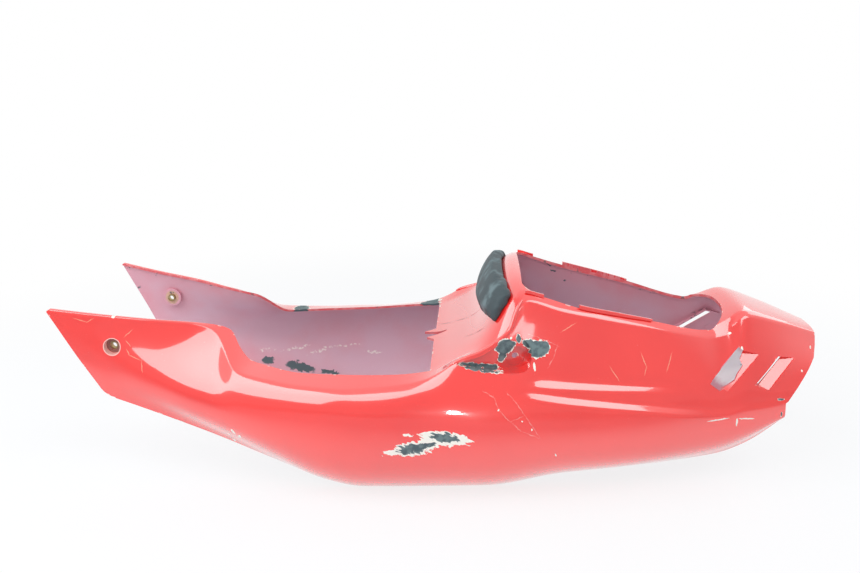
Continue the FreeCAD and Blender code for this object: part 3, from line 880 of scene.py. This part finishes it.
# %% Red paint
PAINT_DEEP, PAINT_FRESH = colour(238, 34, 30), colour(248, 44, 38)
# The second colour is the darker, duller red laid over the pocket recess
PAINT_DUST, PAINT_DARKER_RED = colour(248, 176, 166), colour(188, 62, 62)
PAINT_SCRATCH, PAINT_CRACK = colour(252, 196, 160), colour(244, 170, 160)
PRIMER_COLOUR = colour(238, 236, 226)
# The second colour is the darker brown-grey laid over the cup recess
HUMP_DIRT, CUP_DARKER_COLOUR = colour(122, 62, 68), colour(122, 96, 88)
LACQUER_IOR, LACQUER_ROUGHNESS = 2.1, 0.06
PLASTIC_DARK, PLASTIC_PALE = colour(70, 88, 94), colour(104, 124, 126)


def red_paint():
    finish = Finish("red_paint")
    ragged = finish.ragged(7, 4.0)
    fine = finish.ragged(3, 1.0)
    from_edge = finish.from_edge()
    fingers = finish.noise(1, 3, finish.within((0, 0, 0), (0, 24, 0), (9, 9, 2.2)))
    knocks = finish.patches(FLANK_PRIMER, ragged) + (fingers - 0.5) * 1.1
    cores = finish.patches(FLANK_PLASTIC, ragged) + (fingers - 0.5) * 1.7
    losses = finish.patches(LOSSES, ragged)
    nicks = finish.patches(NICKS, fine)
    strokes = finish.patches(scratch_rows, fine)
    cracks = finish.patches(crack_rows, finish.ragged(5, 1.6))
    broken = finish.noise(5, 2).step(0.4, 0.6)
    hump_crack = finish.patches(hump_rows, fine, plan=True).fall(0.4, 1.3) * (0.45 + broken * 0.45)
    cup = finish.patches(CUP_FACE, finish.place)
    streaks = finish.noise(1, 2, finish.within((0, 0, 0), (0, 20, 12), (9, 0.7, 0.7)))
    hairlines = streaks.step(0.70, 0.76) * finish.noise(60, 2).step(0.5, 0.65)
    rubbed = from_edge.fall(0.4, 1.8) * finish.noise(9, 3).step(0.6, 0.66)
    border = finish.noise(4, 2).step(0.4, 0.6) * LOSS_BORDER
    knocked = knocks.fall(0.94, 1.02).most((losses - border).fall(1.0, 1.04))
    ring = cup.step(0.98, 1.0) * cup.fall(1.06, 1.14) * 0.6
    primer = knocked.most(nicks.fall(0.85, 1.1)).most(rubbed * 0.7).most(ring)
    plastic = cores.fall(0.9, 0.98).most(losses.fall(0.96, 1.02))
    grimy = finish.mix(finish.noise(6, 3).step(0.35, 0.65), PLASTIC_DARK, PLASTIC_PALE)
    clouds = finish.noise(140, 2)
    # Darker, duller red over the pocket recess
    pocket_darker = finish.patches(POCKET_DARKER_PATCH, ragged).fall(0.6, 1.1)
    dust = finish.noise(1.5, 2).step(0.74, 0.79)
    # The cup recess is coloured darker brown-grey and left without lacquer
    cup_darker = cup.fall(0.95, 0.99)
    paint = finish.layers(PAINT_DEEP, [
        (clouds.step(0.3, 0.7), PAINT_FRESH), (pocket_darker * 0.7, PAINT_DARKER_RED), (dust * 0.3, PAINT_DUST),
        (hairlines * 0.14, PAINT_DUST), (strokes.fall(0.5, 1.3) * 0.5, PAINT_SCRATCH),
        (cracks.fall(0.5, 1.4) * (0.15 + broken * 0.4), PAINT_CRACK), (hump_crack, HUMP_DIRT),
        (primer, PRIMER_COLOUR), (plastic, grimy), (cup_darker * 0.9, CUP_DARKER_COLOUR)])
    bare = primer.most(plastic).most(cup_darker).most(hump_crack)
    height = finish.noise(2.5, 2) * 0.04 - plastic
    finish.set(Base_Color=paint, Roughness=0.22 + clouds * 0.06 + bare * 0.4, Coat_Weight=1 - bare,
               Coat_Roughness=LACQUER_ROUGHNESS, Coat_IOR=LACQUER_IOR, Normal=finish.bump(height, 0.35, 0.25))
    return finish.material


finishes = [red_paint()]
print("paint ready")

# %% [markdown]
# The inside was never painted. It is mauve-grey plastic with a veil of red overspray that thickens
# towards the rims, pale scuffs where the seat rubbed, and dark spots where the veil is gone.

# %% Bare inside and cut edges
DARK_SPOTS = [(-230, 100, 154, 6, 3, 0), (-213, 114, 147, 9, 3, 0), (-178, 114, 143, 12, 3, 0),
              (-142, 122, 143, 8, 2.5, 0), (-28, 133, 150, 12, 3, 0), (-255, 110, 66, 9, 5, -20),
              (-211, 121, 53, 24, 5, -18), (-169, 133, 41, 14, 3, -15), (143, 96, 220, 3, 1.6, -20),
              (150, 100, 211, 2.5, 1.5, 0), (167, 103, 196, 2, 2, 0)]
SCUFFS = [(-258, 120, 79, 12, 2, -10), (-220, 137, 76, 22, 1.6, 4), (-186, 145, 70, 20, 2, 14),
          (-150, 157, 74, 26, 1.5, 3), (-108, 162, 63, 14, 2.5, -8)]
# Painted light: a near-white patch inside the tail stands in for the bright light seen there, and is not a
# colour of the plastic
TAIL_PAINTED_LIGHT_PATCH = [(392, 80, 88, 30, 34, 35)]
BOSS_STAINS = [(cup_x, -cup_face[1], cup_z, CUP_R, CUP_R, 0), (*cup_face, CUP_R, CUP_R, 0)]
INSIDE_BARE, INSIDE_VEIL = colour(210, 172, 187), colour(216, 138, 150)
INSIDE_DUST = colour(228, 208, 214)
# The second pair starts with the near-white colour of that painted light in the tail
TAIL_PAINTED_LIGHT_COLOUR, BOSS_STAIN = colour(244, 250, 250), colour(206, 172, 136)
EDGE_RED, EDGE_PALE = colour(216, 92, 98), colour(222, 128, 132)


def bare_inside():
    finish = Finish("bare_inside")
    ragged = finish.ragged(6, 5.0)
    from_edge = finish.from_edge()
    cloud = finish.noise(45, 4)
    veil = from_edge.fall(0, 45) * 0.5 + cloud.step(0.4, 0.75) * 0.3
    dust = finish.noise(1.2, 2).step(0.6, 0.75)
    # Painted light: the near-white patch in the tail, for the bright light seen inside it
    tail = finish.patches(TAIL_PAINTED_LIGHT_PATCH, ragged).fall(0.7, 1.1)
    stain = finish.patches(BOSS_STAINS, finish.ragged(4, 1.2)).fall(0.9, 1.1)
    scuffed = finish.patches(SCUFFS, ragged).fall(0.7, 1.1) * finish.noise(4, 2).step(0.45, 0.6)
    spots = finish.patches(DARK_SPOTS, ragged).fall(0.8, 1.0)
    gone = from_edge.fall(1, 9) * finish.noise(7, 3).step(0.62, 0.67)
    base = finish.layers(INSIDE_BARE, [
        (veil, INSIDE_VEIL), (dust * 0.3, INSIDE_DUST), (tail * 0.95, TAIL_PAINTED_LIGHT_COLOUR), (stain * 0.75, BOSS_STAIN),
        (scuffed * 0.7, PRIMER_COLOUR), (spots.most(gone), PLASTIC_DARK)])
    finish.set(Base_Color=base, Roughness=0.5 + dust * 0.2, Normal=finish.bump(cloud + dust * 0.3, 0.15, 0.4))
    return finish.material


def cut_edge():
    finish = Finish("cut_edge")
    cloud = finish.noise(8, 3)
    spots = finish.patches(LOSSES, finish.ragged(7, 4.0)).fall(0.9, 1.1)
    gone = finish.noise(9, 2).step(0.68, 0.72) * 0.7
    coats = [(cloud.step(0.4, 0.65), EDGE_PALE), (spots.most(gone), PLASTIC_DARK)]
    base = finish.layers(EDGE_RED, coats)
    finish.set(Base_Color=base, Roughness=0.4 + cloud * 0.3, Normal=finish.bump(cloud, 0.2, 0.3))
    return finish.material


finishes += [bare_inside(), cut_edge()]
faces = shell.data.polygons
finish_numbers = [face.material_index % RECESS for face in faces]
shell.data.materials.clear()
for material in finishes:
    shell.data.materials.append(material)
faces.foreach_set("material_index", finish_numbers)
print("shell finishes:", {m.name: finish_numbers.count(k) for k, m in enumerate(finishes)})

# %% [markdown]
# The backrest is a pad of closed-cell foam glued to the front of the hump. Its block is copied,
# merged, remeshed fine and eased, and cloth pressure gives it a light swell, so that the middle
# crowns and the rim stays soft. The points near the hump are then laid on it, as glue holds them.

# %% Backrest pad
MERGE = 0.05
PAD_VOXEL = 4.0
PAD_EASE = 6
PAD_PRESSURE = 4.0
PAD_FRAMES = 20
PAD_CAP = 5.0
GLUED, FREE = 4.0, 10.0
GLUE_LINE = 0.4


def block_copy(node, name):
    piece = bpy.data.objects.new(name, bpy.data.objects[node].data.copy())
    piece.data.materials.clear()
    bpy.context.scene.collection.objects.link(piece)
    return closed_up(piece, MERGE * MM)


def put(piece, points):
    piece.data.vertices.foreach_set("co", np.asarray(points, float).ravel())
    piece.data.update()


# Air pressure in a cloth skin, with the movement of every point capped and none at the glued face
def swollen(piece, freedom):
    start = read(piece.data.vertices, "co", float, 3)
    cloth = piece.modifiers.new("swell", "CLOTH")
    cloth.settings.use_pressure = True
    cloth.settings.uniform_pressure_force = PAD_PRESSURE
    cloth.settings.effector_weights.gravity = 0
    for number in range(1, PAD_FRAMES + 1):
        bpy.context.scene.frame_set(number)
    applied(piece)
    bpy.context.scene.frame_set(1)
    shift = read(piece.data.vertices, "co", float, 3) - start
    far = np.linalg.norm(shift, axis=1, keepdims=True)
    shift *= np.minimum(1, PAD_CAP * MM / np.maximum(far, 1e-9)) * freedom[:, None]
    put(piece, start + shift)
    return np.linalg.norm(shift, axis=1).max() / MM


pad = block_copy("backrest_pad", "backrest_foam")
remesh = pad.modifiers.new("remesh", "REMESH")
remesh.mode = "VOXEL"
remesh.voxel_size = PAD_VOXEL * MM
ease = pad.modifiers.new("ease", "SMOOTH")
ease.iterations = PAD_EASE
applied(pad)
hump = BVHTree.FromObject(shell, bpy.context.evaluated_depsgraph_get())
below = [hump.find_nearest(vertex.co) for vertex in pad.data.vertices]
gaps = np.array([hit[3] for hit in below]) / MM
moved = swollen(pad, np.clip((gaps - GLUED) / (FREE - GLUED), 0, 1))
print("pad swelled by up to", round(moved, 1), "mm")
stuck = read(pad.data.vertices, "co", float, 3)
for k, (point, normal, face, gap) in enumerate(below):
    if gap < GLUED * MM:
        stuck[k] = point + normal * GLUE_LINE * MM
put(pad, stuck)
pad.modifiers.new("smooth", "SUBSURF").levels = 1
applied(pad)
print("pad:", len(pad.data.vertices), "points, gaps", round(gaps.min(), 2), "to", round(gaps.max(), 1), "mm")

# %% [markdown]
# Foam has a matt skin with fine pores, rubbed paler where the rider leaned.

# %% Foam finish
PORE = 1.4
FOAM_DARK, FOAM_RUBBED = colour(60, 74, 79), colour(134, 156, 161)


def foam():
    finish = Finish("black_foam")
    sockets = {"Vector": finish.place, "Scale": 1 / (PORE * MM)}
    pores = finish.node("ShaderNodeTexVoronoi", {}, sockets, "Distance")
    rub = finish.noise(22, 4).step(0.45, 0.7)
    base = finish.mix(rub * 0.6, FOAM_DARK, FOAM_RUBBED)
    finish.set(Base_Color=base, Roughness=0.62 + rub * 0.15, Normal=finish.bump(pores, 0.35, 0.5))
    return finish.material


pad.data.materials.append(foam())
pad.data.shade_smooth()
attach(pad, "root")
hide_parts("backrest_pad")
print("pad finished")

# %% [markdown]
# The bushes are plain steel sleeves with yellow zinc plating, which shifts between straw and a
# greenish or rosy tint. The solids are right as they are, so they only get a finish.

# %% Zinc bushes
ZINC_STRAW, ZINC_PALE = colour(158, 132, 84), colour(188, 170, 128)


def yellow_zinc():
    finish = Finish("yellow_zinc")
    tint = finish.noise(4, 3)
    base = finish.mix(tint.step(0.35, 0.65), ZINC_STRAW, ZINC_PALE)
    finish.set(Base_Color=base, Metallic=1.0, Roughness=0.3 + tint * 0.2, Normal=finish.bump(tint, 0.1, 0.1))
    return finish.material


zinc = yellow_zinc()
for side in ("left", "right"):
    bush = bpy.data.objects["front_mount_bush_" + side]
    bush.data.materials.clear()
    bush.data.materials.append(zinc)
print("bushes plated")

# %% [markdown]
# The studio is white: a pale floor that glows to the lens but still takes the shadow, and a white
# surround. Mirrored in the lacquer, both are dimmer on the camera's side, where a table ends and a
# room begins. The glow is for rays from the lens, a mirror or glass, so it adds no light to the part.

# %% Floor and surround
SURROUND = 0.48
CAMERA_SIDE = 0.4
FLOOR_GLOW = 0.8
TABLE_REACH, ROOM_REACH = (0.2, 0.45), (0.1, 0.7)
SHADOW_REACH = 0.6
FLOOR_HALF = 6.0
FLOOR_COLOUR = (0.86, 0.91, 0.97, 1)


def white_floor():
    finish = Finish("pale_floor")
    mirrors = finish.ray("Glossy").most(finish.ray("Transmission"))
    seen = finish.ray("Camera").most(mirrors)
    far = finish.length(finish.place).step(SHADOW_REACH, 2 * SHADOW_REACH)
    in_front = finish.node("ShaderNodeSeparateXYZ", {}, {0: finish.place}, "Y") * -1
    dim = mirrors * in_front.step(*TABLE_REACH) * (1 - CAMERA_SIDE)
    matt = finish.node("ShaderNodeBsdfDiffuse", {}, {"Color": FLOOR_COLOUR})
    glow = finish.node("ShaderNodeEmission", {}, {"Color": 1 - dim})
    share = seen * (FLOOR_GLOW + far * (1 - FLOOR_GLOW))
    blend = finish.node("ShaderNodeMixShader", {}, {0: share, 1: matt, 2: glow})
    finish.feed(finish.tree.nodes["Material Output"].inputs["Surface"], blend)
    finish.tree.nodes.remove(finish.shader)
    return finish.material


corners = [(-1, -1), (1, -1), (1, 1), (-1, 1)]
floor = new_piece("floor", [(FLOOR_HALF * x, FLOOR_HALF * y, 0) for x, y in corners], [(0, 1, 2, 3)])
floor.data.materials.append(white_floor())

world = bpy.data.worlds.new("studio")
bpy.context.scene.world = world
world.use_nodes = True
room = Nodes(world.node_tree)
heading = room.node("ShaderNodeTexCoord", {}, {}, "Generated")
to_camera_side = room.node("ShaderNodeSeparateXYZ", {}, {0: heading}, "Y") * -1
mirrored_room = 1 - to_camera_side.step(*ROOM_REACH) * (1 - CAMERA_SIDE)
mirrors = room.ray("Glossy").most(room.ray("Transmission"))
sky = world.node_tree.nodes["Background"]
sky.inputs["Color"].default_value = (1, 1, 1, 1)
room.feed(sky.inputs["Strength"], room.ray("Camera").most(mirrors * mirrored_room).most(SURROUND))
print("surround", SURROUND, "and floor ready")

# %% [markdown]
# Soft boxes draw the shape of the lacquer with their reflections: a large one high on the left, one
# under the ceiling on the right, a weak fill behind, and one small bare lamp. They are sized for a
# plain exposure, at which a colour comes out about as it is written.

# %% Soft boxes
SOFT_BOXES = [("window", (-1.1, -0.93, 1.45), 1.75, 1.75, 2.7),
              ("ceiling", (0.99, -0.95, 1.71), 1.1, 1.05, 2.8),
              ("fill_back", (1.3, 1.0, 1.1), 1.2, 0.9, 1.5),
              ("small_lamp", (0.19, -1.6, 0.12), 0.07, 0.1, 50.0)]
AIM = Vector((0, 0, 0.12))
for name, place, wide, high, radiance in SOFT_BOXES:
    lamp = bpy.data.lights.new(name, "AREA")
    lamp.shape = "RECTANGLE"
    lamp.size, lamp.size_y = wide, high
    lamp.energy = radiance * math.pi * wide * high
    box = bpy.data.objects.new(name, lamp)
    box.location = place
    box.rotation_euler = (AIM - Vector(place)).to_track_quat("-Z", "Y").to_euler()
    box.visible_camera = False
    bpy.context.scene.collection.objects.link(box)
bpy.context.scene.view_settings.view_transform = "Standard"
print("soft boxes:", len(SOFT_BOXES))
